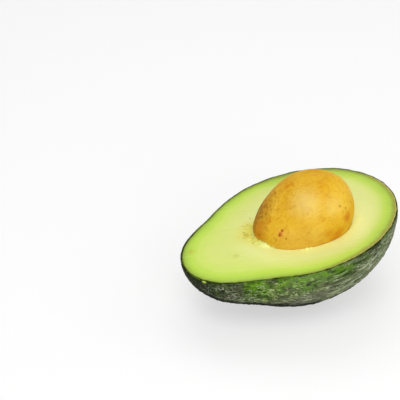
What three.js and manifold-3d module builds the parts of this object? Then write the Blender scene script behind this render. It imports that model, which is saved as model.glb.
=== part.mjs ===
// Half an avocado, cut lengthwise, with the stone still lying in it.
//
// Millimetres, +Z up. The half rests on a small flat spot of its peel at z = 0.
// +X runs along the fruit from the stem end to the wide end, and the cut face
// looks up, with the wide end a little higher than the stem end. The origin is
// in the middle of the outline seen from above, on the resting surface.

import * as THREE from 'three';
import { mergeVertices } from 'three/addons/utils/BufferGeometryUtils.js';
import Module from 'manifold-3d';

// ---------------------------------------------------------------- dimensions

// Outline of the fruit where flesh and peel meet: a polar curve about a point
// on the fruit's axis, r(a) = sum of c[k] * cos(k * a), with a = 0 at the wide
// end and a = 180 degrees at the stem end. The fruit is round about its axis.
const FRUIT_OUTLINE = [42.249, 14.894, 9.914, 0.446, 1.004, 0.234];

const PEEL_THICKNESS = 1.1;   // peel, outside to inside
const FLESH_GAP = 0.3;        // between the inside of the peel and the flesh

// Outline of the stone, given the same way about its own long axis, with the
// pointed end (a = 180 degrees) towards the stem.
const STONE_OUTLINE = [21.283, 0.496, 2.441, -0.584, 0.134, 0.047, -0.076];
const STONE_CENTRE = [21.99, -4.60, 5.41];  // along, across and above the cut face
const STONE_TURN = -14.3;     // degrees, in the plane of the cut face
const STONE_DIP = -21.1;      // degrees, the blunt end lifted out of the flesh
const STONE_GAP = 0.3;        // between the stone and its hollow

const CUT_TILT = -9.2;        // degrees, the wide end of the cut face raised
const FLAT_DEPTH = 0.45;      // how far the peel is flattened where it rests

const FRUIT_SIDES = 60;       // facets round the fruit
const FRUIT_STEPS = 32;       // facets along the fruit
const STONE_SIDES = 44;
const STONE_STEPS = 24;

// ------------------------------------------------------------------- helpers

const wasm = await Module();
wasm.setup();

const degrees = (d) => THREE.MathUtils.degToRad(d);

// The polar outline, moved outwards by `offset`, as lathe points (radius, along).
function outline(c, offset, steps) {
  const points = [];
  for (let i = 0; i <= steps; i++) {
    const a = Math.PI * (1 - i / steps);
    let r = 0, dr = 0;
    c.forEach((ck, k) => {
      r += ck * Math.cos(k * a);
      dr -= k * ck * Math.sin(k * a);
    });
    const du = dr * Math.cos(a) - r * Math.sin(a);
    const dw = dr * Math.sin(a) + r * Math.cos(a);
    const l = Math.hypot(du, dw);
    const along = r * Math.cos(a) + offset * dw / l;
    const radius = r * Math.sin(a) - offset * du / l;
    const pole = i === 0 || i === steps;
    points.push(new THREE.Vector2(pole ? 0 : radius, along));
  }
  return points;
}

// A body of revolution about the X axis.
function turned(c, offset, steps, sides) {
  const g = new THREE.LatheGeometry(outline(c, offset, steps), sides, Math.PI / sides);
  g.rotateZ(-Math.PI / 2);
  return g;
}

// A closed geometry as a solid for cutting.
function solid(geometry, matrix) {
  const g = geometry.clone();
  g.deleteAttribute('normal');
  g.deleteAttribute('uv');
  if (matrix) g.applyMatrix4(matrix);
  const m = mergeVertices(g, 1e-4);
  const index = m.index.array;
  const triangles = [];
  for (let i = 0; i < index.length; i += 3) {
    const [a, b, c] = [index[i], index[i + 1], index[i + 2]];
    if (a !== b && b !== c && c !== a) triangles.push(a, b, c);
  }
  return new wasm.Manifold(new wasm.Mesh({
    numProp: 3,
    vertProperties: new Float32Array(m.attributes.position.array),
    triVerts: new Uint32Array(triangles),
  }));
}

function geometryOf(body) {
  const mesh = body.getMesh();
  const g = new THREE.BufferGeometry();
  g.setAttribute('position', new THREE.BufferAttribute(new Float32Array(mesh.vertProperties), 3));
  g.setIndex(new THREE.BufferAttribute(new Uint32Array(mesh.triVerts), 1));
  g.computeVertexNormals();
  return g;
}

function piece(name, geometry, color, roughness) {
  const mesh = new THREE.Mesh(geometry, new THREE.MeshStandardMaterial({ color, roughness, metalness: 0 }));
  mesh.name = name;
  return mesh;
}

// --------------------------------------------------------------------- place

// The fruit's own axes: X along the axis, Z out of the cut face. Tilting puts
// the half as it lies, and the shift brings its outline over the origin with
// the flattened spot at z = 0.
const tilt = new THREE.Matrix4().makeRotationY(degrees(CUT_TILT));
const above = new THREE.BoxGeometry(300, 300, 150).translate(0, 0, 75);
const outside = turned(FRUIT_OUTLINE, PEEL_THICKNESS, FRUIT_STEPS, FRUIT_SIDES);

const lying = geometryOf(solid(outside, tilt).subtract(solid(above, tilt)));
lying.computeBoundingBox();
const box = lying.boundingBox;
const shift = new THREE.Matrix4().makeTranslation(
  -(box.min.x + box.max.x) / 2,
  -(box.min.y + box.max.y) / 2,
  -(box.min.z + FLAT_DEPTH),
);
const place = new THREE.Matrix4().multiplyMatrices(shift, tilt);

const stonePlace = new THREE.Matrix4()
  .multiply(place)
  .multiply(new THREE.Matrix4().makeTranslation(...STONE_CENTRE))
  .multiply(new THREE.Matrix4().makeRotationZ(degrees(STONE_TURN)))
  .multiply(new THREE.Matrix4().makeRotationY(degrees(STONE_DIP)));

// -------------------------------------------------------------------- pieces

const cutAway = solid(above, place);
const ground = solid(new THREE.BoxGeometry(300, 300, 50).translate(0, 0, -25));

// Peel: a thin bowl, open at the cut, flattened where it rests.
const inside = turned(FRUIT_OUTLINE, 0, FRUIT_STEPS, FRUIT_SIDES);
const peelBody = solid(outside, place)
  .subtract(solid(inside, place))
  .subtract(cutAway)
  .subtract(ground);

// Flesh: fills the peel up to the cut face, with the hollow of the stone.
const fleshForm = turned(FRUIT_OUTLINE, -FLESH_GAP, FRUIT_STEPS, FRUIT_SIDES);
const hollow = turned(STONE_OUTLINE, STONE_GAP, STONE_STEPS, STONE_SIDES);
const fleshBody = solid(fleshForm, place)
  .subtract(cutAway)
  .subtract(solid(hollow, stonePlace));

// Stone: lies in the hollow, more than half of it standing out of the cut face.
const stoneForm = turned(STONE_OUTLINE, 0, STONE_STEPS, STONE_SIDES);
const stone = piece('stone', geometryOf(solid(stoneForm)), 0xdda62e, 0.45);
stone.applyMatrix4(stonePlace);

const avocado = new THREE.Group();
avocado.name = 'avocado_half';
avocado.add(
  piece('peel', geometryOf(peelBody), 0x47591f, 0.5),
  piece('flesh', geometryOf(fleshBody), 0xd3e37a, 0.6),
  stone,
);

export default avocado;
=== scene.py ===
import itertools
import math

import bpy
import numpy as np
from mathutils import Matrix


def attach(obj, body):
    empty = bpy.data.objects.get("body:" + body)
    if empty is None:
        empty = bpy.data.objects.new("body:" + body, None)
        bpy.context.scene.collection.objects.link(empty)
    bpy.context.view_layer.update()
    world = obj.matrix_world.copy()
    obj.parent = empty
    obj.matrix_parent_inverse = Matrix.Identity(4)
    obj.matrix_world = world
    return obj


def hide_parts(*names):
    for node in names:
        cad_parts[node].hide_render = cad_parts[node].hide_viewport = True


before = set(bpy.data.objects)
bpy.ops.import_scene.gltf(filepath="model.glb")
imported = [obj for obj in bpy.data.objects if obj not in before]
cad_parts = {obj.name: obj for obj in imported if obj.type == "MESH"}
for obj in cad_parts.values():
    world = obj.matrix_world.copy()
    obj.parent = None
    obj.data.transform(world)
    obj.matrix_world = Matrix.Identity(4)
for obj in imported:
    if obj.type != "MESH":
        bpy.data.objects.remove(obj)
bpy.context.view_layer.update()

# ------------------------------------------------------------------ dimensions
# Millimetres, in the fruit's own axes: u along the fruit from the stem end to
# the wide end, v across the cut face, n out of the cut face. The outlines are
# polar curves r(a) = sum c[k] cos(k a), round about the long axis.

FRUIT = (42.249, 14.894, 9.914, 0.446, 1.004, 0.234)
PEEL = 1.1
STONE = (21.283, 0.496, 2.441, -0.584, 0.134, 0.047, -0.076)
STONE_CENTRE = np.array([21.99, -4.60, 5.41])
STONE_TURN = math.radians(-14.3)
STONE_DIP = math.radians(-21.1)
TILT = math.radians(-9.2)
SHIFT = np.array([-15.5621, 0.0, 35.2704])   # the fruit's polar centre in the row frame


def rot_y(t):
    c, s = math.cos(t), math.sin(t)
    return np.array([[c, 0, s], [0, 1, 0], [-s, 0, c]])


def rot_z(t):
    c, s = math.cos(t), math.sin(t)
    return np.array([[c, -s, 0], [s, c, 0], [0, 0, 1]])


R_TILT = rot_y(TILT)
R_STONE = rot_z(STONE_TURN) @ rot_y(STONE_DIP)


def to_row(p):
    """Fruit axes to the row frame, still in millimetres."""
    return p @ R_TILT.T + SHIFT


# ----------------------------------------------------------------------- noise

def _hash(ix, iy, iz, seed):
    m = np.uint64(0xFFFFFFFF)
    h = (ix.astype(np.int64) * 374761393 + iy.astype(np.int64) * 668265263
         + iz.astype(np.int64) * 1440662683 + seed * 974634257)
    h = h.astype(np.uint64) & m
    h = ((h ^ (h >> np.uint64(15))) * np.uint64(2246822519)) & m
    h = ((h ^ (h >> np.uint64(13))) * np.uint64(3266489917)) & m
    return h ^ (h >> np.uint64(16))


def _rand(ix, iy, iz, seed):
    return _hash(ix, iy, iz, seed).astype(np.float64) / 4294967296.0


def perlin(p, seed=0):
    """Gradient noise of points (N, 3), about -1 to 1."""
    b = np.floor(p).astype(np.int64)
    f = p - b
    w = f * f * f * (f * (f * 6 - 15) + 10)
    out = np.zeros(len(p))
    for dx, dy, dz in itertools.product((0, 1), repeat=3):
        ix, iy, iz = b[:, 0] + dx, b[:, 1] + dy, b[:, 2] + dz
        a = _rand(ix, iy, iz, seed) * 2 * math.pi
        z = _rand(ix, iy, iz, seed + 101) * 2 - 1
        s = np.sqrt(1 - z * z)
        g = s * np.cos(a) * (f[:, 0] - dx) + s * np.sin(a) * (f[:, 1] - dy) + z * (f[:, 2] - dz)
        k = ((w[:, 0] if dx else 1 - w[:, 0]) * (w[:, 1] if dy else 1 - w[:, 1])
             * (w[:, 2] if dz else 1 - w[:, 2]))
        out += g * k
    return out * 1.5


def fbm(p, octaves=3, seed=0, gain=0.5):
    total, amp, norm = np.zeros(len(p)), 1.0, 0.0
    for i in range(octaves):
        total += amp * perlin(p * 2 ** i, seed + 17 * i)
        norm += amp
        amp *= gain
    return total / norm


def cells(p, seed=0, jitter=0.9):
    """Distances to the nearest and second nearest scattered point, and a random number of the nearest."""
    b = np.floor(p).astype(np.int64)
    f1 = np.full(len(p), 9.0)
    f2 = np.full(len(p), 9.0)
    who = np.zeros(len(p))
    for d in itertools.product((-1, 0, 1), repeat=3):
        ix, iy, iz = b[:, 0] + d[0], b[:, 1] + d[1], b[:, 2] + d[2]
        q = np.column_stack([c + 0.5 + jitter * (_rand(ix, iy, iz, seed + 7 * k) - 0.5)
                             for k, c in enumerate((ix, iy, iz))])
        dist = np.linalg.norm(p - q, axis=1)
        near = dist < f1
        f2 = np.where(near, f1, np.minimum(f2, dist))
        who = np.where(near, _rand(ix, iy, iz, seed + 91), who)
        f1 = np.where(near, dist, f1)
    return f1, f2, who


def smooth(e0, e1, x):
    t = np.clip((x - e0) / (e1 - e0), 0, 1)
    return t * t * (3 - 2 * t)


# ---------------------------------------------------------------------- shapes

def polar(c, a):
    r = sum(ck * np.cos(k * a) for k, ck in enumerate(c))
    dr = sum(-k * ck * np.sin(k * a) for k, ck in enumerate(c))
    return r, dr


def round_body(c, d, offset):
    """Points and outward normals of a round body in directions d from its polar centre, moved out by offset."""
    a = np.arccos(np.clip(d[:, 0], -1, 1))
    r, dr = polar(c, a)
    du = dr * np.cos(a) - r * np.sin(a)
    dw = dr * np.sin(a) + r * np.cos(a)
    l = np.hypot(du, dw)
    q = d[:, 1:]
    ql = np.linalg.norm(q, axis=1)
    q = np.where(ql[:, None] > 1e-9, q / np.maximum(ql, 1e-9)[:, None], np.array([[0.0, -1.0]]))
    nrm = np.column_stack([dw / l, -du / l * q[:, 0], -du / l * q[:, 1]])
    return r[:, None] * d + np.asarray(offset).reshape(-1, 1) * nrm, nrm


# Where the stone departs from its round outline: place in its own axes, amount, width.
SWELLS = (((-21.6, -1.4, 7.8), 1.7, 5.5), ((15.5, -14.6, -5.0), -0.45, 8.0),
          ((4.0, -18.2, -5.5), -0.9, 7.0), ((22.0, -2.5, 6.0), 0.8, 8.0))


def stone_swell(base):
    return sum(a * np.exp(-((base - np.array(c)) ** 2).sum(1) / (w * w)) for c, a, w in SWELLS)


def stone_gap(p):
    """How far points lie outside the stone's surface, measured from its centre."""
    q = (p - STONE_CENTRE) @ R_STONE
    r = np.linalg.norm(q, axis=1)
    reach = polar(STONE, np.arccos(np.clip(q[:, 0] / r, -1, 1)))[0]
    return r - reach - stone_swell(q / r[:, None] * reach[:, None])


def ring_quads(a, b, n):
    """Quads between two closed rings of n vertices that start at indices a and b."""
    i = np.arange(n)
    j = (i + 1) % n
    return np.column_stack([a + i, a + j, b + j, b + i])


def fan(ring, tip, n, flip=False):
    i = np.arange(n)
    j = (i + 1) % n
    t = np.column_stack([ring + i, ring + j, np.full(n, tip)])
    return t[:, ::-1] if flip else t


def make_piece(name, verts_mm, quads, tris, attributes):
    mesh = bpy.data.meshes.new(name)
    faces = [tuple(int(k) for k in f) for f in quads] + [tuple(int(k) for k in f) for f in tris]
    mesh.from_pydata((to_row(verts_mm) * 0.001).tolist(), [], faces)
    for key, values in attributes.items():
        values = np.asarray(values, dtype=np.float32)
        if values.ndim == 1:
            mesh.attributes.new(key, "FLOAT", "POINT").data.foreach_set("value", values)
        else:
            mesh.attributes.new(key, "FLOAT_VECTOR", "POINT").data.foreach_set("vector", values.ravel())
    mesh.polygons.foreach_set("use_smooth", [True] * len(mesh.polygons))
    mesh.update()
    mesh.validate()
    obj = bpy.data.objects.new(name, mesh)
    bpy.context.scene.collection.objects.link(obj)
    return obj


def blob(u, v, centre, radius):
    """A soft round patch, 1 in the middle."""
    return np.exp(-((u - centre[0]) ** 2 + (v - centre[1]) ** 2) / (radius * radius))


# Height of the cut edge round the rim: nearly flat, with the small waver of a knife.
def rim_height(u, v):
    p = np.column_stack([u, v, np.zeros(len(u))])
    return 0.24 * perlin(p / 9.0, 5) + 0.15 * perlin(p / 2.6, 6)


# ------------------------------------------------------------------------ peel

def build_peel():
    n_a, n_e = 720, 120
    theta = np.linspace(0, 2 * math.pi, n_a, endpoint=False)
    ring = np.column_stack([np.cos(theta), np.sin(theta), np.zeros(n_a)])
    down = np.array([[0.0, 0.0, -1.0]])
    rows, edge, bump, cell_id, under, grain = [], [], [], [], [], []

    def meridian(d):
        """Coordinates that run along the skin from the wide end to the stem end, and around it, in mm."""
        a = np.arccos(np.clip(d[:, 0], -1, 1))
        w = polar(FRUIT, a)[0] * np.sin(a)
        k = np.sqrt(w * w + 144.0) / np.maximum(np.hypot(d[:, 1], d[:, 2]), 1e-6)
        return np.column_stack([45.0 * a, k * d[:, 1], k * d[:, 2]])

    def relief(base, g):
        """Height of the skin's pebbles, wrinkles and dents, and the random number of each pebble."""
        warp = np.column_stack([perlin(base / 3.2, 11), perlin(base / 3.2, 12), perlin(base / 3.2, 13)])
        f1, f2, who = cells((base + 0.9 * warp) / 2.7, 21)
        dome = 1 - smooth(0.0, 0.78, f1)
        crease = smooth(0.0, 0.22, f2 - f1)
        fine = cells((base + 0.3 * warp) / 1.15, 33)[0]
        flow = (g + 1.1 * warp) * np.array([0.13, 0.52, 0.52])
        wrinkle = 1 - 2 * np.abs(perlin(flow, 46)) + 0.4 * perlin(2.1 * flow, 47)
        height = (0.24 * dome * (0.45 + 0.85 * who) * crease + 0.10 * (1 - smooth(0.1, 0.7, fine))
                  + 0.14 * wrinkle + 0.26 * fbm(base / 9.0, 3, 41) + 0.05 * perlin(base / 0.9, 44) - 0.24)
        return height, who

    for j in range(n_e):
        e = 0.5 * math.pi * j / n_e
        d = math.cos(e) * ring + math.sin(e) * down
        base, nrm = round_body(FRUIT, d, np.full(n_a, PEEL))
        g = meridian(d)
        h, who = relief(base, g)
        near_rim = math.exp(-j / 2.0)
        h = h * (1 - 0.55 * near_rim) - 0.10 * near_rim
        p = base + h[:, None] * nrm
        p[:, 2] += (rim_height(base[:, 0], base[:, 1]) - 0.14) * math.exp(-(j / 2.5) ** 2)
        rows.append(p)
        edge.append(np.zeros(n_a))
        bump.append(h)
        cell_id.append(who)
        under.append(-(nrm @ R_TILT.T)[:, 2])
        grain.append(g)
    tip_base, tip_n = round_body(FRUIT, down, [PEEL])

    # The cut edge of the peel, from its outer to its inner side.
    base, nrm = round_body(FRUIT, ring, np.zeros(n_a))
    top_row = rows[0]
    strip = []
    for t in (0.08, 0.2, 0.4, 0.6, 0.8, 1.0):
        p = top_row * (1 - t) + base * t
        p[:, 2] = rim_height(base[:, 0], base[:, 1]) - 0.14 * (1 - min(1.0, t / 0.3)) ** 2 - 0.05 * smooth(0.7, 1.0, t)
        strip.append(p)
        rows_edge = np.full(n_a, t)
        edge.append(rows_edge)
        bump.append(np.zeros(n_a))
        cell_id.append(np.full(n_a, 0.5))
        under.append(np.zeros(n_a))
        grain.append(meridian(ring))

    # Inside of the peel, against the flesh.
    inner = []
    n_i = 8
    for j in range(1, n_i):
        e = 0.5 * math.pi * j / n_i
        d = math.cos(e) * ring + math.sin(e) * down
        inner.append(round_body(FRUIT, d, np.zeros(n_a))[0])
        edge.append(np.ones(n_a))
        bump.append(np.zeros(n_a))
        cell_id.append(np.full(n_a, 0.5))
        under.append(np.zeros(n_a))
        grain.append(meridian(d))

    verts = np.vstack(rows + strip + inner + [tip_base, round_body(FRUIT, down, [0.0])[0]])
    k_out = 0
    k_strip = len(rows) * n_a
    k_in = k_strip + len(strip) * n_a
    k_tip = k_in + len(inner) * n_a
    quads = [ring_quads((j + 1) * n_a, j * n_a, n_a) for j in range(len(rows) - 1)]
    chain = [k_out] + [k_strip + i * n_a for i in range(len(strip))] + [k_in + i * n_a for i in range(len(inner))]
    quads += [ring_quads(chain[i], chain[i + 1], n_a) for i in range(len(chain) - 1)]
    tris = [fan((len(rows) - 1) * n_a, k_tip, n_a, True), fan(chain[-1], k_tip + 1, n_a)]
    edge = np.concatenate(edge + [[0.0, 1.0]])
    bump = np.concatenate(bump + [[0.0, 0.0]])
    cell_id = np.concatenate(cell_id + [[0.5, 0.5]])
    under = np.concatenate(under + [[1.0, 0.0]])
    grain = np.vstack(grain + [meridian(down), meridian(down)])

    # The flattened spot that the half rests on.
    row = to_row(verts)
    outside = np.concatenate([np.ones(k_strip, bool), np.zeros(len(verts) - k_strip, bool)])
    outside[k_tip] = True
    low = outside & (row[:, 2] < 0.0)
    row[low, 2] = 0.0
    verts = (row - SHIFT) @ R_TILT

    peel = make_piece("peel_skin", verts, np.vstack(quads), np.vstack(tris),
                      {"edge": edge, "relief": bump, "pebble": cell_id, "under": under,
                       "grain": grain, "fruit": verts})
    return peel


# ----------------------------------------------------------------------- flesh

FLESH_MID = np.array([20.0, -4.4])     # a point of the cut face inside the hollow
GAP = 0.12                             # between the stone and the lip of the hollow


def boundary_radii(n_a):
    theta = np.linspace(0, 2 * math.pi, n_a, endpoint=False)
    d = np.column_stack([np.cos(theta), np.sin(theta)])
    # outer edge
    a = np.linspace(0, 2 * math.pi, 4000, endpoint=False)
    dirs = np.column_stack([np.cos(a), np.sin(a), np.zeros(len(a))])
    edge = round_body(FRUIT, dirs, np.full(len(a), -0.02))[0][:, :2]
    rel = edge - FLESH_MID
    ang = np.mod(np.arctan2(rel[:, 1], rel[:, 0]), 2 * math.pi)
    order = np.argsort(ang)
    r_out = np.interp(theta, ang[order], np.linalg.norm(rel, axis=1)[order], period=2 * math.pi)
    # lip of the hollow
    lo, hi = np.zeros(n_a), np.full(n_a, 40.0)
    for _ in range(50):
        m = 0.5 * (lo + hi)
        p = np.column_stack([FLESH_MID + m[:, None] * d, np.zeros(n_a)])
        inside = stone_gap(p) < GAP
        lo, hi = np.where(inside, m, lo), np.where(inside, hi, m)
    return theta, d, 0.5 * (lo + hi), r_out, edge[::4]


# Pits in the flesh: u, v, radius, depth. Crumbs of torn flesh: u, v, radius, height.
PITS = ((4.27, 15.89, 0.45, 0.30), (-1.87, 12.83, 0.5, 0.30), (-3.43, 8.22, 0.6, 0.35), (-4.28, -1.57, 0.5, 0.30),
        (-2.83, -3.64, 0.5, 0.30), (-5.6, 4.6, 0.5, 0.25), (0.9, 12.2, 0.4, 0.25), (-1.2, 5.2, 0.5, 0.30))
CRUMBS = ((-3.6, -2.0, 0.9, 0.35), (-3.9, 1.9, 0.9, 0.3), (12.9, -20.6, 0.8, 0.7), (14.6, -21.2, 0.7, 0.6),
          (10.6, -19.8, 0.7, 0.4), (-4.8, 7.4, 0.9, 0.25), (-2.2, 10.0, 0.8, 0.25))


def nearest(points, line):
    out = np.empty(len(points))
    for i in range(0, len(points), 4000):
        block = points[i:i + 4000]
        out[i:i + 4000] = np.sqrt(((block[:, None, :] - line[None]) ** 2).sum(2).min(1))
    return out


def build_flesh():
    n_a, n_s = 640, 104
    theta, d, r_in, r_out, rim_line = boundary_radii(n_a)
    lip_line = FLESH_MID + r_in[:, None] * d
    rows, rim_d, lip_d = [], [], []
    for j in range(n_s + 1):
        t = j / n_s
        s = 0.45 * t + 0.55 * (0.5 - 0.5 * math.cos(math.pi * t))
        uv = FLESH_MID + (r_in + s * (r_out - r_in))[:, None] * d
        rows.append(uv)
    flat = np.vstack(rows)
    rim_d = nearest(flat, rim_line)
    lip_d = nearest(flat, lip_line)
    rim_d[-n_a:] = 0.0
    lip_d[:n_a] = 0.0
    u, v = flat[:, 0], flat[:, 1]

    torn = np.clip(blob(u, v, (-3.8, 6.5), 7.2) + 0.9 * blob(u, v, (-0.8, -1.5), 3.6) + 0.7 * blob(u, v, (1.5, 10.5), 3.4), 0, 1)
    torn = torn * smooth(16.0, 3.0, lip_d)
    p3 = np.column_stack([u, v, np.zeros(len(u))])
    # long shallow marks of the knife, a little off the fruit's axis
    ca, sa = math.cos(math.radians(-24)), math.sin(math.radians(-24))
    along, across = ca * u + sa * v, -sa * u + ca * v
    marks = fbm(np.column_stack([along / 38.0, across / 1.5, np.full(len(u), 3.1)]), 2, 61)
    broad = perlin(p3 / 24.0, 62)
    rough = fbm(p3 / 1.7, 3, 63)
    tear = cells(p3 / 1.9 + 0.35 * np.column_stack([rough, -rough, rough]), 67)[0]
    height = (0.10 * broad + 0.035 * marks + torn * (0.30 * rough + 0.22 * smooth(0.55, 0.1, tear) - 0.16)
              + 0.012 * perlin(p3 / 0.9, 64))
    fade = smooth(0.0, 2.5, rim_d)
    height = height * fade + (1 - fade) * (rim_height(u, v) - 0.06) - 0.05 * np.exp(-rim_d / 0.35)
    # small pits where the flesh was picked at
    for pu, pv, pr, pd in PITS:
        height -= pd * np.exp(-((u - pu) ** 2 + (v - pv) ** 2) / (pr * pr))
    # flesh that clings to the stone round the lip
    ragged = 0.5 + 0.5 * perlin(p3 / 3.0, 65) + 0.45 * perlin(p3 / 0.9, 66)
    cling = np.clip(ragged, 0, 1.4) * (0.14 + 0.45 * blob(u, v, (0.8, -5.5), 4.5) + 0.30 * blob(u, v, (14.0, -20.0), 2.4))
    height = height + np.exp(-lip_d / 0.5) * cling
    # torn crumbs standing up at the stone's pointed end and at its near side
    crumb = np.zeros(len(u))
    for cu, cv, cr, ch in CRUMBS:
        w = 1 + 0.45 * perlin(p3 / 0.8 + 3.0 * cu, 68)
        crumb = np.maximum(crumb, ch * smooth(1.0, 0.25, np.hypot(u - cu, v - cv) / (cr * np.clip(w, 0.4, 1.6))))
    ridge = smooth(3.2, -0.2, v) * smooth(-11.5, -6.5, v) * smooth(9.0, 4.0, u)
    tatter = np.clip(0.75 + 0.75 * perlin(p3 / 1.3, 69) + 0.4 * perlin(p3 / 0.6, 70), 0.15, 1.6)
    ridge = ridge * (1.7 + 0.8 * blob(u, v, (-1.0, -2.5), 3.5))
    height = height + ridge * tatter * smooth(2.3, 0.4, lip_d + 0.5 * perlin(p3 / 1.1, 75))
    height = height + crumb * smooth(-0.05, 0.25, lip_d)
    coat = smooth(38.0, 44.0, u) * smooth(-13.0, -7.0, v)
    height = height + coat * (0.7 + 0.35 * perlin(p3 / 2.2, 76)) * smooth(1.1, 0.2, lip_d)
    top = np.column_stack([flat, height])
    # keep the lip off the stone where it rises along it
    gap = stone_gap(top)
    close = gap < 0.06
    if close.any():
        out = top[close] - STONE_CENTRE
        top[close] = top[close] + (0.06 - gap[close])[:, None] * out / np.linalg.norm(out, axis=1)[:, None]

    # wall of the hollow under the stone
    start = top[:n_a] - STONE_CENTRE
    start = start / np.linalg.norm(start, axis=1)[:, None]
    bottom = np.array([0.0, 0.0, -1.0])
    cosang = np.clip(start @ bottom, -1, 1)
    ang = np.arccos(cosang)
    hollow = []
    n_h = 12
    for j in range(1, n_h):
        t = j / n_h
        q = (np.sin((1 - t) * ang) / np.sin(ang))[:, None] * start + (np.sin(t * ang) / np.sin(ang))[:, None] * bottom
        g = np.full(n_a, 0.12 + 0.18 * min(1.0, j / 2))
        loc = q @ R_STONE
        hollow.append(round_body(STONE, loc, g)[0] @ R_STONE.T + STONE_CENTRE)
    loc = bottom[None] @ R_STONE
    hollow_tip = round_body(STONE, loc, [0.3])[0] @ R_STONE.T + STONE_CENTRE

    # outside of the flesh, inside the peel
    edge = top[-n_a:].copy()
    edge[:, 2] = 0
    edge = edge / np.linalg.norm(edge, axis=1)[:, None]
    wall = []
    n_w = 16
    for j in range(1, n_w):
        e = 0.5 * math.pi * j / n_w
        q = math.cos(e) * edge + math.sin(e) * bottom
        wall.append(round_body(FRUIT, q, np.full(n_a, -0.3))[0])
    wall_tip = round_body(FRUIT, bottom[None], [-0.3])[0]

    verts = np.vstack([top] + hollow + [hollow_tip] + wall + [wall_tip])
    k_h = len(top)
    k_ht = k_h + len(hollow) * n_a
    k_w = k_ht + 1
    k_wt = k_w + len(wall) * n_a
    quads = [ring_quads((j + 1) * n_a, j * n_a, n_a)[:, ::-1] for j in range(n_s)]
    chain = [0] + [k_h + i * n_a for i in range(len(hollow))]
    quads += [ring_quads(chain[i], chain[i + 1], n_a)[:, ::-1] for i in range(len(chain) - 1)]
    chain2 = [n_s * n_a] + [k_w + i * n_a for i in range(len(wall))]
    quads += [ring_quads(chain2[i], chain2[i + 1], n_a) for i in range(len(chain2) - 1)]
    tris = [fan(chain[-1], k_ht, n_a, True), fan(chain2[-1], k_wt, n_a)]
    pad = len(verts) - len(top)
    n_hid = len(hollow) * n_a + 1
    rim_all = np.concatenate([rim_d, np.full(n_hid, 20.0), np.zeros(pad - n_hid)])
    lip_all = np.concatenate([lip_d, np.zeros(n_hid), np.full(pad - n_hid, 20.0)])
    torn_all = np.concatenate([torn, np.zeros(pad)])
    flesh = make_piece("flesh_cut", verts, np.vstack(quads), np.vstack(tris),
                       {"rim_mm": rim_all, "lip_mm": lip_all, "torn": torn_all, "fruit": verts})
    return flesh


# ----------------------------------------------------------------------- stone

def build_stone():
    n_r, n_a = 176, 320
    psi = np.linspace(0, 2 * math.pi, n_a, endpoint=False)
    rows = []
    for j in range(1, n_r):
        a = math.pi * j / n_r
        rows.append(np.column_stack([np.full(n_a, math.cos(a)), math.sin(a) * np.cos(psi), math.sin(a) * np.sin(psi)]))
    dirs = np.vstack(rows + [np.array([[1.0, 0, 0]]), np.array([[-1.0, 0, 0]])])
    base, nrm = round_body(STONE, dirs, np.zeros(len(dirs)))
    lumps = fbm(base / 13.0, 2, 71)
    ridges = perlin(np.column_stack([base[:, 0] / 16.0, base[:, 1] / 2.4, base[:, 2] / 2.4]), 72)
    f1 = cells(base / 1.9, 73)[0]
    pits = -smooth(0.22, 0.05, f1)
    h = 0.16 * lumps + 0.035 * ridges + 0.05 * pits + 0.012 * perlin(base / 0.6, 74) - 0.06 + stone_swell(base)
    local = base + h[:, None] * nrm
    verts = local @ R_STONE.T + STONE_CENTRE
    k = (n_r - 1) * n_a
    quads = [ring_quads(j * n_a, (j + 1) * n_a, n_a) for j in range(n_r - 2)]
    tris = [fan(0, k, n_a, True), fan((n_r - 2) * n_a, k + 1, n_a)]
    stone = make_piece("stone_seed", verts, np.vstack(quads), np.vstack(tris),
                       {"local": base, "relief": h, "fruit": verts})
    return stone


# ------------------------------------------------------------------- materials

def srgb(text):
    out = []
    for i in (0, 2, 4):
        c = int(text[i:i + 2], 16) / 255.0
        out.append(c / 12.92 if c <= 0.04045 else ((c + 0.055) / 1.055) ** 2.4)
    return tuple(out) + (1.0,)


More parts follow.
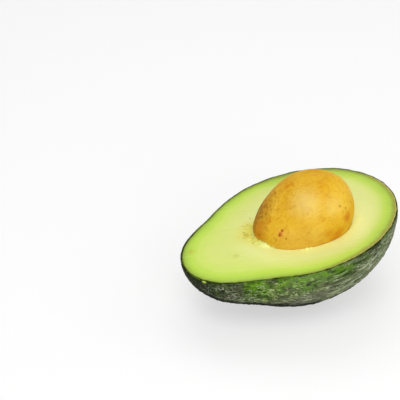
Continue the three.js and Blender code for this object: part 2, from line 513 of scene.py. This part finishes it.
class Tree:
    def __init__(self, name):
        self.mat = bpy.data.materials.new(name)
        self.mat.use_nodes = True
        self.t = self.mat.node_tree
        self.t.nodes.clear()
        self.out = self.t.nodes.new("ShaderNodeOutputMaterial")
        self.bsdf = self.t.nodes.new("ShaderNodeBsdfPrincipled")
        self.t.links.new(self.bsdf.outputs[0], self.out.inputs[0])

    def put(self, socket, value):
        if isinstance(value, bpy.types.NodeSocket):
            self.t.links.new(value, socket)
        elif value is not None:
            socket.default_value = value

    def shader(self, **values):
        for key, value in values.items():
            self.put(self.bsdf.inputs[key.replace("_", " ")], value)

    def math(self, op, a, b=None, c=None, clamp=False):
        n = self.t.nodes.new("ShaderNodeMath")
        n.operation = op
        n.use_clamp = clamp
        for i, value in enumerate((a, b, c)):
            if value is not None:
                self.put(n.inputs[i], value)
        return n.outputs[0]

    def attr(self, name, out="Fac"):
        n = self.t.nodes.new("ShaderNodeAttribute")
        n.attribute_name = name
        return n.outputs[out]

    def vec(self, op, a, b=None, scale=None):
        n = self.t.nodes.new("ShaderNodeVectorMath")
        n.operation = op
        self.put(n.inputs[0], a)
        if b is not None:
            self.put(n.inputs[1], b)
        if scale is not None:
            self.put(n.inputs["Scale"], scale)
        return n.outputs["Value"] if op in ("DISTANCE", "LENGTH", "DOT_PRODUCT") else n.outputs["Vector"]

    def noise(self, vector, scale, detail=2.0, rough=0.5, distortion=0.0):
        n = self.t.nodes.new("ShaderNodeTexNoise")
        n.noise_dimensions = "3D"
        self.put(n.inputs["Vector"], vector)
        n.inputs["Scale"].default_value = scale
        n.inputs["Detail"].default_value = detail
        n.inputs["Roughness"].default_value = rough
        n.inputs["Distortion"].default_value = distortion
        return n.outputs["Fac"]

    def voronoi(self, vector, scale, feature="F1", out="Distance", randomness=1.0):
        n = self.t.nodes.new("ShaderNodeTexVoronoi")
        n.feature = feature
        self.put(n.inputs["Vector"], vector)
        n.inputs["Scale"].default_value = scale
        n.inputs["Randomness"].default_value = randomness
        return n.outputs[out]

    def map(self, value, lo, hi, a=0.0, b=1.0, smoothstep=True):
        n = self.t.nodes.new("ShaderNodeMapRange")
        n.interpolation_type = "SMOOTHSTEP" if smoothstep else "LINEAR"
        self.put(n.inputs["Value"], value)
        n.inputs["From Min"].default_value = lo
        n.inputs["From Max"].default_value = hi
        n.inputs["To Min"].default_value = a
        n.inputs["To Max"].default_value = b
        return n.outputs["Result"]

    def ramp(self, value, stops):
        n = self.t.nodes.new("ShaderNodeValToRGB")
        r = n.color_ramp
        r.interpolation = "EASE"
        r.elements[0].position, r.elements[0].color = stops[0][0], srgb(stops[0][1])
        r.elements[1].position, r.elements[1].color = stops[-1][0], srgb(stops[-1][1])
        for pos, col in stops[1:-1]:
            r.elements.new(pos).color = srgb(col)
        self.put(n.inputs["Fac"], value)
        return n.outputs["Color"]

    def mix(self, fac, a, b, blend="MIX"):
        n = self.t.nodes.new("ShaderNodeMix")
        n.data_type = "RGBA"
        n.blend_type = blend
        n.clamp_factor = True
        self.put(n.inputs[0], fac)
        for i, value in ((6, a), (7, b)):
            self.put(n.inputs[i], srgb(value) if isinstance(value, str) else value)
        return n.outputs[2]

    def bump(self, height, strength, distance):
        n = self.t.nodes.new("ShaderNodeBump")
        n.inputs["Strength"].default_value = strength
        n.inputs["Distance"].default_value = distance
        self.put(n.inputs["Height"], height)
        return n.outputs["Normal"]

    def spot(self, where, centre, radius, soft=0.5, wobble=None, amount=0.0):
        """1 inside a round spot about a point, with an edge that noise can make uneven."""
        d = self.vec("DISTANCE", where, centre)
        if wobble is not None:
            d = self.math("ADD", d, self.math("MULTIPLY", self.math("SUBTRACT", wobble, 0.5), amount))
        return self.map(d, radius, radius * (1 - soft), 0.0, 1.0)


def add_all(tree, parts):
    total = parts[0]
    for p in parts[1:]:
        total = tree.math("MAXIMUM", total, p)
    return total


def peel_material():
    t = Tree("avocado_peel")
    p = t.attr("fruit", "Vector")
    g = t.attr("grain", "Vector")
    relief = t.attr("relief")
    edge = t.attr("edge")
    pebble = t.attr("pebble")
    under = t.attr("under")
    u = t.vec("DOT_PRODUCT", p, (1.0, 0.0, 0.0))
    v = t.vec("DOT_PRODUCT", p, (0.0, 1.0, 0.0))
    n = t.vec("DOT_PRODUCT", p, (0.0, 0.0, 1.0))

    large = t.noise(p, 0.055, 3.0, 0.55)
    mid = t.noise(p, 0.26, 4.0, 0.62, 0.5)
    fine = t.noise(p, 1.0, 3.0, 0.65)
    flow = t.noise(t.vec("MULTIPLY", g, (0.10, 0.80, 0.80)), 1.0, 2.0, 0.55, 0.5)
    hair = t.noise(t.vec("MULTIPLY", t.vec("ADD", g, (40.0, 9.0, 5.0)), (0.085, 0.60, 0.60)), 1.0, 2.0, 0.5, 0.8)
    patch = t.noise(t.vec("MULTIPLY", t.vec("ADD", g, (7.0, 21.0, 13.0)), (0.10, 0.22, 0.22)), 1.0, 3.0, 0.6)

    # dull green, darkest at the stem end as painted shade, and greyer towards the wide end as a painted sheen
    green = t.ramp(large, [(0.34, "33451a"), (0.46, "41581e"), (0.56, "4c6820"), (0.68, "567526")])
    green = t.mix(t.map(u, 6.0, 34.0, 0.0, 0.6), green, "526438")
    green = t.mix(t.map(u, -14.0, -26.0, 0.0, 0.7), green, "474f33")
    # a brighter green band under the cut edge, along the middle of the half
    bright = t.math("MULTIPLY", t.map(u, -27.0, -15.0), t.map(u, 34.0, 8.0))
    bright = t.math("MULTIPLY", bright, t.map(t.math("ADD", n, t.math("MULTIPLY", mid, 10.0)), -9.0, 2.0))
    green = t.mix(t.math("MULTIPLY", bright, t.map(mid, 0.34, 0.58, 0.35, 1.0)), green, "5f9014")
    # mottling, finer and coarser
    green = t.mix(t.map(mid, 0.54, 0.70, 0.0, 0.55), green, t.mix(t.map(u, 0.0, 26.0), "76982e", "6f8450"))
    green = t.mix(t.map(mid, 0.45, 0.33, 0.0, 0.80), green, t.mix(t.map(u, 0.0, 26.0), "1c2a0c", "2c381e"))
    # greyish brown areas low on the near side, partly weathering and partly a painted sheen of the pale floor below,
    # and brownish grey weathered areas here and there
    brown = t.noise(p, 0.10, 2.0, 0.5, 0.8)
    low = t.math("SUBTRACT", t.math("MULTIPLY", n, -1.0), t.math("MULTIPLY_ADD", u, -0.22, 14.0))
    low = t.math("ADD", low, t.math("MULTIPLY", t.math("SUBTRACT", mid, 0.5), 10.0))
    low_sheen_and_wear = t.math("MULTIPLY", t.map(low, -4.0, 3.0), t.map(u, -18.0, -4.0))
    low_sheen_and_wear = t.math("MULTIPLY", low_sheen_and_wear, t.map(v, -6.0, -20.0, 0.2, 1.0))
    green = t.mix(t.math("MULTIPLY", low_sheen_and_wear, t.map(flow, 0.34, 0.58, 0.45, 0.95)), green, t.mix(t.map(u, 0.0, 26.0), "6b665a", "6f7658"))
    green = t.mix(t.map(brown, 0.52, 0.64, 0.0, 0.65), green, t.mix(t.map(u, 0.0, 26.0), "4c4a38", "64664e"))
    # pebbles and wrinkles get a painted highlight on top and painted shade in the creases between them
    green = t.mix(t.map(relief, 0.04, 0.28, 0.0, 0.40), green, t.mix(t.map(u, 0.0, 26.0), "86a04a", "8e9c76"))
    green = t.mix(t.map(relief, -0.08, -0.30, 0.0, 0.60), green, t.mix(t.map(u, -6.0, 22.0), "141c09", "283219"))
    green = t.mix(t.map(pebble, 0.74, 0.98, 0.0, 0.35), green, "34361f")
    # darkest round the stem end: painted shade
    green = t.mix(t.map(t.math("ADD", u, t.math("MULTIPLY", mid, 10.0)), -22.0, -32.0, 0.0, 0.85), green, "10150a")
    # dark hair lines that follow the skin along the fruit, and pale ones along it that are painted glints
    green = t.mix(t.map(flow, 0.47, 0.36, 0.0, 0.85), green, "171f0c")
    painted_highlight = t.map(t.math("ABSOLUTE", t.math("SUBTRACT", hair, 0.5)), 0.055, 0.008)
    where = t.math("MULTIPLY", t.map(patch, 0.42, 0.58, 0.12, 1.0), t.map(fine, 0.36, 0.56, 0.5, 1.0))
    where = t.math("MULTIPLY", where, t.map(n, 0.0, -5.0, 0.35, 1.0))
    where = t.math("MULTIPLY", where, t.map(u, -37.5, -33.0, 0.15, 1.0))
    tint = t.mix(t.map(u, -24.0, -8.0), "a4ab94", t.mix(t.map(u, 4.0, 28.0), "b4c684", "bcc6a4"))
    tint = t.mix(t.math("MULTIPLY", low_sheen_and_wear, t.map(u, 14.0, 2.0, 0.0, 0.8)), tint, "a5a894")
    calm = t.math("MULTIPLY", t.math("MULTIPLY", t.map(u, -4.0, 4.0), t.map(u, 30.0, 20.0)), t.map(low, -1.0, -7.0, 0.0, 0.40))
    where = t.math("MULTIPLY", where, t.math("SUBTRACT", 1.0, calm))
    green = t.mix(t.math("MULTIPLY", t.math("MULTIPLY", painted_highlight, where), 0.90), green, tint)
    # a few pale pores and brown corky specks
    pores = t.voronoi(p, 0.40)
    few = t.map(t.noise(t.vec("ADD", p, (5.0, 3.0, 1.0)), 0.22, 1.0), 0.54, 0.62)
    green = t.mix(t.math("MULTIPLY", t.map(pores, 0.17, 0.09), t.math("MULTIPLY", few, 0.85)), green, "a2c048")
    cork = t.voronoi(t.vec("ADD", p, (13.0, 7.0, 3.0)), 0.20)
    green = t.mix(t.map(cork, 0.12, 0.06, 0.0, 0.7), green, "54452a")
    green = t.mix(t.map(fine, 0.57, 0.73, 0.0, 0.30), green, t.mix(t.map(u, 0.0, 26.0), "8aa452", "98a680"))
    green = t.mix(t.map(fine, 0.43, 0.30, 0.0, 0.50), green, "151c0a")
    # a faint pale grey over the middle and over the wide end: painted sheen
    green = t.mix(t.math("MULTIPLY", t.map(u, -12.0, -2.0), t.map(u, 20.0, 8.0, 0.0, 0.08)), green, "a0a888")
    green = t.mix(t.map(u, 44.0, 56.0, 0.0, 0.09), green, "b4b8a4")
    # dark in places just under the cut, and painted shade underneath where the skin turns towards the floor
    shade = t.math("MULTIPLY", t.map(t.math("ADD", n, t.math("MULTIPLY", fine, 1.8)), -1.6, 0.6), t.map(patch, 0.40, 0.58, 0.85, 0.05))
    shade = t.math("MULTIPLY", shade, t.math("SUBTRACT", 1.0, t.math("MULTIPLY", bright, 0.5)))
    green = t.mix(shade, green, "1c290a")
    # painted shade on the underside, darkest where the skin faces the floor, with noise in its upper edge
    underside_shade_mask = t.math("SUBTRACT", under, t.map(u, -38.0, -24.0, 0.46, 0.60))
    underside_shade_mask = t.math("ADD", underside_shade_mask, t.map(u, 8.0, 40.0, 0.0, 0.09))
    underside_shade_mask = t.math("ADD", underside_shade_mask, t.math("MULTIPLY", t.math("SUBTRACT", mid, 0.5), 0.22))
    underside_shade_mask = t.math("ADD", underside_shade_mask, t.math("MULTIPLY", t.math("SUBTRACT", flow, 0.5), 0.24))
    underside_shade_mask = t.math("ADD", underside_shade_mask, t.math("MULTIPLY", t.math("SUBTRACT", large, 0.5), 0.20))
    painted_underside_shade = t.mix(t.map(flow, 0.46, 0.66), "070a04", "1b2112")
    painted_underside_shade = t.mix(t.map(pebble, 0.70, 0.98, 0.0, 0.35), painted_underside_shade, "2a301c")
    painted_underside_shade = t.mix(t.math("MULTIPLY", painted_highlight, t.math("MULTIPLY", where, 0.35)), painted_underside_shade, "5c6450")
    painted_underside_shade = t.mix(t.map(under, 0.86, 0.78), painted_underside_shade, "070a04")
    green = t.mix(t.math("MULTIPLY", t.map(underside_shade_mask, -0.03, 0.10), t.map(u, 20.0, 48.0, 0.96, 0.6)), green, painted_underside_shade)
    # a smear of flesh over the edge
    green = t.mix(t.math("MULTIPLY", t.spot(p, (-35.6, -11.7, -0.2), 1.5, 0.6, fine, 1.2), 0.85), green, "bfd45c")
    # corky scar of the stem at the narrow end
    scar = t.spot(p, (-31.6, 11.2, -1.2), 3.4, 0.45, mid, 2.2)
    green = t.mix(t.math("MULTIPLY", scar, 0.9), green, "5b452a")

    # the cut edge: dark green to olive, with a tan line next to the flesh along the near side of the wide end
    tan_where = t.math("MULTIPLY", t.map(t.math("ADD", u, t.math("MULTIPLY", t.noise(p, 0.12, 2.0), 30.0)), 12.0, 34.0),
                       t.map(v, 16.0, 0.0))
    line = t.mix(tan_where, t.mix(t.map(u, -24.0, -12.0), "4c5a1a", "76941e"), "cfc274")
    line = t.mix(t.map(t.noise(p, 0.9, 2.0), 0.5, 0.7, 0.0, 0.6), line, "85782f")
    edge_w = t.math("ADD", edge, t.math("MULTIPLY", t.math("SUBTRACT", t.noise(p, 0.45, 3.0, 0.6), 0.5), 1.1))
    rim = t.mix(t.map(edge_w, 0.46, 0.78), t.mix(t.map(mid, 0.46, 0.62), "1f2a0b", "4c661c"), line)
    colour = t.mix(t.map(edge, 0.02, 0.10), green, rim)

    rough = t.map(t.noise(p, 0.5, 2.0), 0.3, 0.7, 0.34, 0.50)
    rough = t.math("ADD", rough, t.map(edge, 0.02, 0.2, 0.0, 0.3))
    height = t.math("ADD", t.math("MULTIPLY", t.noise(p, 1.7, 3.0, 0.6), 0.6), t.math("MULTIPLY", pores, 0.5))
    height = t.math("ADD", height, t.math("MULTIPLY", painted_highlight, 0.5))
    t.shader(Base_Color=colour, Roughness=rough, Normal=t.bump(height, 0.5, 0.0003))
    t.bsdf.inputs["IOR"].default_value = 1.46
    t.bsdf.inputs["Specular IOR Level"].default_value = 0.0
    t.bsdf.inputs["Coat Weight"].default_value = 0.1
    t.bsdf.inputs["Coat Roughness"].default_value = 0.3
    t.bsdf.inputs["Coat IOR"].default_value = 1.4
    return t.mat


def flesh_material():
    t = Tree("avocado_flesh")
    p = t.attr("fruit", "Vector")
    rim = t.attr("rim_mm")
    lip = t.attr("lip_mm")
    torn = t.attr("torn")
    u = t.vec("DOT_PRODUCT", p, (1.0, 0.0, 0.0))

    v = t.vec("DOT_PRODUCT", p, (0.0, 1.0, 0.0))
    drift = t.math("SUBTRACT", t.noise(p, 0.07, 2.0), 0.5)
    rim_w = t.math("ADD", rim, t.math("MULTIPLY", drift, t.map(rim, 0.0, 6.0, 0.4, 4.5)))
    # the green margin is narrower along the near side and on the far side next to the stone
    narrow = t.math("MULTIPLY", t.map(u, -14.0, 14.0, 0.05, 0.45), t.math("MULTIPLY", t.map(v, -10.0, -24.0), t.map(u, 46.0, 32.0)))
    narrow = t.math("ADD", narrow, t.math("MULTIPLY", t.map(u, 34.0, 18.0, 0.0, 0.3), t.map(v, 10.0, 20.0)))
    rim_w = t.math("MULTIPLY", rim_w, t.math("ADD", narrow, 1.0))
    base = t.ramp(t.math("DIVIDE", rim_w, 20.0), [
        (0.0, "7d9428"), (0.03, "9bb83a"), (0.075, "abce42"), (0.14, "b7da48"), (0.24, "c4e252"),
        (0.40, "d3e76c"), (0.66, "dce87c"), (1.0, "dee880")])
    base = t.mix(t.math("MULTIPLY", t.map(u, 0.0, 30.0), t.map(rim, 4.0, 11.0, 0.0, 0.6)), base, "e2e496")
    # yellower and a little duller towards the wide end, with an olive margin
    wide = t.map(u, 6.0, 42.0)
    wide = t.math("MULTIPLY", wide, t.map(rim, 11.0, 3.0))
    base = t.mix(wide, base, (0.95, 0.92, 0.99, 1.0), "MULTIPLY")
    margin = t.math("ADD", rim, t.math("MULTIPLY", t.math("SUBTRACT", t.noise(p, 0.35, 3.0, 0.6), 0.5), 2.2))
    olive_edge = t.math("MULTIPLY", t.map(margin, 2.3, 0.6, 0.0, 0.75), t.map(u, 0.0, 34.0, 0.10, 1.0))
    base = t.mix(olive_edge, base, "9ea038")
    # paler cream towards the stone, the flesh's own colour there, brightened and made greener right at the lip as
    # painted light against the stone's shade and its orange bounce
    lip_w = t.math("ADD", lip, t.math("MULTIPLY", drift, 5.0))
    cream = t.ramp(t.math("DIVIDE", lip_w, 16.0), [(0.0, "fbfc9a"), (0.06, "f8fba0"), (0.35, "eef4a0"), (1.0, "e4ec96")])
    cream = t.mix(t.map(u, 38.0, 48.0), cream, (0.95, 0.935, 0.93, 1.0), "MULTIPLY")
    near = t.math("MULTIPLY", t.map(lip_w, 17.0, 1.0), t.map(rim, 3.0, 12.0))
    colour = t.mix(near, base, cream)
    # pale skin of the stone left along the lip at its blunt end
    coat = t.math("MULTIPLY", t.map(u, 38.0, 44.0), t.map(v, -13.0, -7.0))
    coat = t.math("MULTIPLY", coat, t.map(t.math("ADD", lip, t.math("MULTIPLY", drift, 1.5)), 1.5, 0.3, 0.0, 0.85))
    colour = t.mix(coat, colour, "f6ebbe")
    # faint veins and knife marks along the fruit
    turn = t.t.nodes.new("ShaderNodeVectorRotate")
    turn.rotation_type = "Z_AXIS"
    turn.inputs["Angle"].default_value = math.radians(24)
    t.put(turn.inputs["Vector"], p)
    stretched = t.vec("MULTIPLY", turn.outputs[0], (0.035, 0.7, 0.7))
    veins = t.noise(stretched, 1.0, 3.0, 0.55)
    colour = t.mix(t.map(veins, 0.52, 0.72, 0.0, 0.22), colour, "cbdc68")
    colour = t.mix(t.map(veins, 0.46, 0.28, 0.0, 0.16), colour, "ecefa8")
    grain = t.noise(p, 1.6, 3.0, 0.6)
    colour = t.mix(t.map(grain, 0.55, 0.75, 0.0, 0.10), colour, "c0d45c")
    # torn yellow flesh at the stone's pointed end
    blotch = t.noise(p, 0.55, 3.0, 0.6)
    colour = t.mix(t.math("MULTIPLY", torn, t.map(blotch, 0.30, 0.60, 0.5, 0.95)), colour, "e3da4a")
    colour = t.mix(t.math("MULTIPLY", torn, t.map(blotch, 0.58, 0.72, 0.0, 0.55)), colour, "c2b83a")
    olive = t.spot(p, (-3.8, 5.6, 0.0), 2.0, 0.8, blotch, 1.8)
    colour = t.mix(t.math("MULTIPLY", olive, 0.75), colour, "bdb02a")
    olive3 = t.spot(p, (1.4, 8.6, 0.0), 2.4, 0.9, blotch, 2.0)
    colour = t.mix(t.math("MULTIPLY", olive3, 0.6), colour, "cdc544")
    for pu, pv, pr, pd in PITS:
        pit = t.spot(p, (pu, pv, -0.2), pr * 1.6, 0.9, grain, 0.6)
        colour = t.mix(t.math("MULTIPLY", pit, 0.6), colour, "aca648")
    olive2 = t.spot(p, (-15.2, -5.0, 0.0), 2.4, 0.95, blotch, 1.6)
    colour = t.mix(t.math("MULTIPLY", olive2, 0.38), colour, "bcbc3e")
    # reddish trace where the stem was
    stem = t.spot(p, (-30.4, 10.6, 0.0), 2.6, 0.95, blotch, 2.6)
    colour = t.mix(t.math("MULTIPLY", stem, 0.4), colour, "caa548")

    rough = t.map(grain, 0.3, 0.7, 0.38, 0.52)
    height = t.math("ADD", t.math("MULTIPLY", veins, 0.8), t.math("MULTIPLY", t.noise(p, 2.4, 3.0, 0.6), 0.35))
    t.shader(Base_Color=colour, Roughness=rough, Normal=t.bump(height, 0.25, 0.0002))
    t.bsdf.inputs["IOR"].default_value = 1.40
    t.bsdf.inputs["Specular IOR Level"].default_value = 0.35
    t.bsdf.inputs["Subsurface Weight"].default_value = 0.25
    t.bsdf.inputs["Subsurface Radius"].default_value = (1.0, 0.9, 0.35)
    t.bsdf.inputs["Subsurface Scale"].default_value = 0.0015
    return t.mat


def stone_material():
    t = Tree("avocado_stone")
    q = t.attr("local", "Vector")

    along = t.vec("MULTIPLY", q, (0.10, 0.75, 0.75))
    streak = t.noise(along, 1.0, 3.0, 0.6, 0.5)
    cloud = t.noise(q, 0.085, 2.0, 0.5)
    fine = t.noise(q, 0.8, 3.0, 0.6)
    wob = t.noise(q, 0.40, 3.0, 0.6)
    mottle = t.noise(q, 0.24, 3.0, 0.62, 0.6)
    colour = t.ramp(cloud, [(0.30, "dda620"), (0.46, "e3b22c"), (0.60, "e7ba36"), (0.76, "ecc448")])
    colour = t.mix(t.map(mottle, 0.52, 0.68, 0.0, 0.38), colour, "cf8c16")
    colour = t.mix(t.map(streak, 0.52, 0.70, 0.0, 0.40), colour, "cd8c16")
    colour = t.mix(t.map(fine, 0.54, 0.72, 0.0, 0.22), colour, "c58314")
    # painted highlight, paler on the upper side
    painted_highlight = t.math("MAXIMUM", t.spot(q, (3.6, -11.5, 14.8), 11.0, 1.0, wob, 5.0),
                  t.math("MULTIPLY", t.spot(q, (13.0, -14.4, 8.4), 8.0, 1.0, wob, 4.0), 0.5))
    colour = t.mix(t.math("MULTIPLY", painted_highlight, 0.55), colour, "ead27c")
    # browner along the side next to the pointed end, with painted shade at its outer edge
    lean = t.vec("DOT_PRODUCT", q, (-0.683, 0.361, 0.635))
    lean = t.math("ADD", lean, t.math("MULTIPLY", t.math("SUBTRACT", wob, 0.5), 6.0))
    colour = t.mix(t.map(lean, 14.0, 18.5, 0.0, 0.62), colour, "b0760a")
    # a dark band at the outer edge of that side, next to the flesh: painted shade
    colour = t.mix(t.map(t.math("ADD", lean, t.math("MULTIPLY", streak, 4.0)), 20.6, 22.4, 0.0, 0.6), colour, "865c08")
    colour = t.mix(t.math("MULTIPLY", t.map(fine, 0.53, 0.64), t.map(lean, 5.0, 13.0, 0.0, 0.38)), colour, "b06c0e")
    colour = t.mix(t.math("MULTIPLY", t.map(fine, 0.45, 0.36), t.map(lean, 5.0, 13.0, 0.0, 0.25)), colour, "ecbc40")
    # orange pointed end
    tip = t.spot(q, (-20.6, -4.6, 7.6), 6.0, 0.9, wob, 3.4)
    colour = t.mix(t.math("MULTIPLY", tip, 0.6), colour, "c67a16")
    # a little paler low on the near side: painted light
    colour = t.mix(t.map(t.vec("DOT_PRODUCT", q, (-0.3, -0.9, 0.0)), 14.0, 19.0, 0.0, 0.22), colour, "ecc878")
    # rust blotches: place, radius, strength
    blots = [((0.3, 0.4, 19.1), 2.3, 0.6), ((2.6, -0.3, 19.2), 1.9, 0.55), ((16.8, -14.0, -2.6), 4.4, 0.75),
             ((5.5, -19.0, -2.1), 3.6, 0.40), ((9.5, -17.2, -6.1), 4.4, 0.6), ((2.0, -18.4, 0.6), 2.6, 0.3), ((6.0, -17.6, -6.8), 4.0, 0.4), ((-17.5, -3.0, 10.5), 3.0, 0.4),
             ((-14.0, -6.5, 13.0), 2.2, 0.4), ((-16.5, -5.5, 10.8), 2.0, 0.4)]
    for centre, radius, strength in blots:
        m = t.spot(q, centre, radius, 0.95, wob, radius * 1.0)
        colour = t.mix(t.math("MULTIPLY", m, strength), colour, "d0720c")
    # small dark specks, in loose groups and low on the near side
    specks = t.voronoi(q, 0.62)
    sparse = t.noise(q, 0.14, 2.0)
    m = t.math("MULTIPLY", t.map(specks, 0.18, 0.08), t.map(sparse, 0.42, 0.56))
    colour = t.mix(t.math("MULTIPLY", m, 0.6), colour, "985e0c")
    dust = t.voronoi(t.vec("ADD", q, (3.0, 1.0, 7.0)), 0.95)
    side = t.map(t.vec("DOT_PRODUCT", q, (-0.35, -0.72, -0.25)), 8.0, 14.0)
    m = t.math("MULTIPLY", t.map(dust, 0.24, 0.10), side)
    colour = t.mix(t.math("MULTIPLY", m, 0.5), colour, "a0640e")
    dots = [((-5.8, 2.7, 17.5), 1.5, 0.6), ((-12.1, -0.4, 15.5), 1.1, 0.7), ((-14.1, -2.9, 14.3), 1.0, 0.7),
            ((16.0, -14.2, 5.3), 0.9, 0.65), ((17.8, -13.5, 1.9), 0.9, 0.65), ((-16.3, -12.0, 5.8), 0.7, 0.7),
            ((-12.1, -14.5, 5.4), 0.8, 0.7), ((-20.9, -4.9, 7.5), 1.0, 0.75), ((-9.4, -1.2, 17.0), 0.7, 0.5),
            ((-2.0, -18.2, 4.6), 0.5, 0.6), ((-5.5, -17.4, 4.9), 0.5, 0.6), ((0.8, -18.7, 2.2), 0.5, 0.6)]
    for centre, radius, strength in dots:
        m = t.spot(q, centre, radius, 0.9, fine, 0.9)
        colour = t.mix(t.math("MULTIPLY", m, strength), colour, "9c5510")
    # a cracked reddish spot with a pale halo
    halo = t.spot(q, (-12.6, -12.7, 8.4), 3.0, 0.95, wob, 1.8)
    colour = t.mix(t.math("MULTIPLY", halo, 0.55), colour, "e39a48")
    ragged = t.noise(q, 0.9, 3.0, 0.6)
    for centre, radius, tone in (((-13.3, -12.6, 7.7), 1.5, "b8500e"), ((-13.6, -12.6, 7.3), 0.7, "8a2f06"),
                                 ((-11.6, -12.7, 9.2), 1.0, "a8480c")):
        core = t.spot(q, centre, radius, 0.8, ragged, 1.5)
        colour = t.mix(t.math("MULTIPLY", core, 0.9), colour, tone)
    # thin film of flesh left along the edge of the blunt end, and smeared over the pointed end
    film = t.vec("DOT_PRODUCT", q, (0.985, 0.10, -0.10))
    film = t.math("ADD", film, t.math("MULTIPLY", t.math("SUBTRACT", fine, 0.5), 1.2))
    film = t.math("MULTIPLY", t.map(film, 20.2, 22.4), t.map(t.noise(q, 0.30, 3.0, 0.6), 0.40, 0.56, 0.25, 1.0))
    colour = t.mix(t.math("MULTIPLY", film, 0.25), colour, "e8cf80")
    smear = add_all(t, [t.spot(q, (-23.2, -2.6, 2.6), 3.6, 0.6, ragged, 2.6), t.spot(q, (-21.6, -7.4, 2.4), 3.5, 0.6, ragged, 2.6),
                        t.spot(q, (-19.8, -10.4, 1.6), 2.4, 0.6, ragged, 2.2)])
    colour = t.mix(t.math("MULTIPLY", smear, 0.85), colour, t.mix(t.map(fine, 0.4, 0.6), "e6de70", "d2c24a"))

    rough = t.map(fine, 0.3, 0.7, 0.42, 0.56)
    height = t.math("ADD", t.math("MULTIPLY", t.noise(q, 1.4, 4.0, 0.6), 0.6), t.math("MULTIPLY", streak, 0.5))
    t.shader(Base_Color=colour, Roughness=rough, Normal=t.bump(height, 0.25, 0.0002))
    t.bsdf.inputs["IOR"].default_value = 1.47
    t.bsdf.inputs["Specular IOR Level"].default_value = 0.0
    t.bsdf.inputs["Coat Weight"].default_value = 0.25
    t.bsdf.inputs["Coat Roughness"].default_value = 0.38
    t.bsdf.inputs["Coat IOR"].default_value = 1.4
    t.bsdf.inputs["Subsurface Weight"].default_value = 0.08
    t.bsdf.inputs["Subsurface Radius"].default_value = (1.0, 0.5, 0.15)
    t.bsdf.inputs["Subsurface Scale"].default_value = 0.001
    return t.mat


# ------------------------------------------------------------------ the object

peel = build_peel()
flesh = build_flesh()
stone = build_stone()
for piece, node, material in ((peel, "peel", peel_material()), (flesh, "flesh", flesh_material()),
                              (stone, "stone", stone_material())):
    piece.data.materials.append(material)
    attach(piece, "root")
    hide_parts(node)

# ----------------------------------------------------------------------- stage

def sweep(radius=1.3, bend=0.7, top=1.7, around=96, steps=20):
    """A round white floor that curves up into a wall."""
    profile = [(radius * k / 4.0, 0.0) for k in range(1, 5)]
    profile += [(radius + bend * math.sin(a), bend * (1 - math.cos(a)))
                for a in (0.5 * math.pi * k / steps for k in range(1, steps + 1))]
    profile.append((radius + bend, top))
    points, faces = [(0.0, 0.0, -0.00005)], []
    for r, h in profile:
        points += [(r * math.cos(2 * math.pi * i / around), r * math.sin(2 * math.pi * i / around), h - 0.00005)
                   for i in range(around)]
    for i in range(around):
        j = (i + 1) % around
        faces.append((0, 1 + i, 1 + j))
        for k in range(len(profile) - 1):
            faces.append((1 + k * around + i, 1 + (k + 1) * around + i, 1 + (k + 1) * around + j, 1 + k * around + j))
    mesh = bpy.data.meshes.new("floor")
    mesh.from_pydata(points, [], faces)
    mesh.polygons.foreach_set("use_smooth", [True] * len(mesh.polygons))
    mesh.update()
    return mesh


floor_mesh = sweep()
floor = bpy.data.objects.new("floor", floor_mesh)
bpy.context.scene.collection.objects.link(floor)
fm = Tree("floor_white")
tone = fm.noise(fm.t.nodes.new("ShaderNodeTexCoord").outputs["Object"], 3.0, 2.0)
fm.shader(Base_Color=fm.mix(tone, "b4b4b4", "b8b8b8"))
fm.bsdf.inputs["Roughness"].default_value = 0.8
fm.bsdf.inputs["Specular IOR Level"].default_value = 0.2
fm.bsdf.inputs["Emission Color"].default_value = (1.0, 1.0, 1.0, 1.0)
rise = fm.t.nodes.new("ShaderNodeSeparateXYZ")
fm.put(rise.inputs[0], fm.t.nodes.new("ShaderNodeTexCoord").outputs["Object"])
fm.put(fm.bsdf.inputs["Emission Strength"], fm.map(rise.outputs["Z"], 0.0, 0.6, 0.53, 0.24))
floor_mesh.materials.append(fm.mat)

world = bpy.data.worlds.new("studio")
bpy.context.scene.world = world
world.use_nodes = True
world.node_tree.nodes["Background"].inputs["Color"].default_value = (1.0, 1.0, 1.0, 1.0)
world.node_tree.nodes["Background"].inputs["Strength"].default_value = 0.37


def area(name, place, target, size, power):
    data = bpy.data.lights.new(name, "AREA")
    data.shape = "RECTANGLE"
    data.size, data.size_y = size
    data.energy = power
    lamp = bpy.data.objects.new(name, data)
    bpy.context.scene.collection.objects.link(lamp)
    from mathutils import Vector
    lamp.location = place
    lamp.rotation_euler = (Vector(target) - Vector(place)).to_track_quat("-Z", "Y").to_euler()
    return lamp


area("key", (-0.33, -0.36, 0.85), (0.0, 0.0, 0.03), (0.60, 0.45), 3.0)
area("front", (-0.16, -0.78, 0.36), (0.0, 0.0, 0.03), (0.60, 0.35), 1.8)
area("side", (0.75, -0.30, 0.45), (0.0, 0.0, 0.03), (0.6, 0.6), 1.05)
area("top", (0.18, 0.42, 0.85), (0.0, 0.0, 0.03), (0.7, 0.6), 2.0)

bpy.context.scene.view_settings.view_transform = "Standard"
bpy.context.scene.view_settings.look = "None"

# ---------------------------------------------------------------------- camera

yaw, el = math.radians(27.48), math.radians(30.986)
right = np.array([math.cos(yaw), -math.sin(yaw), 0.0])
up = np.array([math.sin(yaw) * math.sin(el), math.cos(yaw) * math.sin(el), math.cos(el)])
fwd = np.array([math.sin(yaw) * math.cos(el), math.cos(yaw) * math.cos(el), -math.sin(el)])
eye = SHIFT - (27.265 * right - 17.364 * up + 460.0 * fwd)
cam_data = bpy.data.cameras.new("camera")
cam_data.sensor_width = 36.0
cam_data.lens = 90.0
cam_data.clip_start = 0.01
cam_data.clip_end = 50.0
cam = bpy.data.objects.new("camera", cam_data)
bpy.context.scene.collection.objects.link(cam)
from mathutils import Matrix
m = Matrix.Identity(4)
for i in range(3):
    m[i][0], m[i][1], m[i][2], m[i][3] = right[i], up[i], -fwd[i], eye[i] * 0.001
cam.matrix_world = m
bpy.context.scene.camera = cam
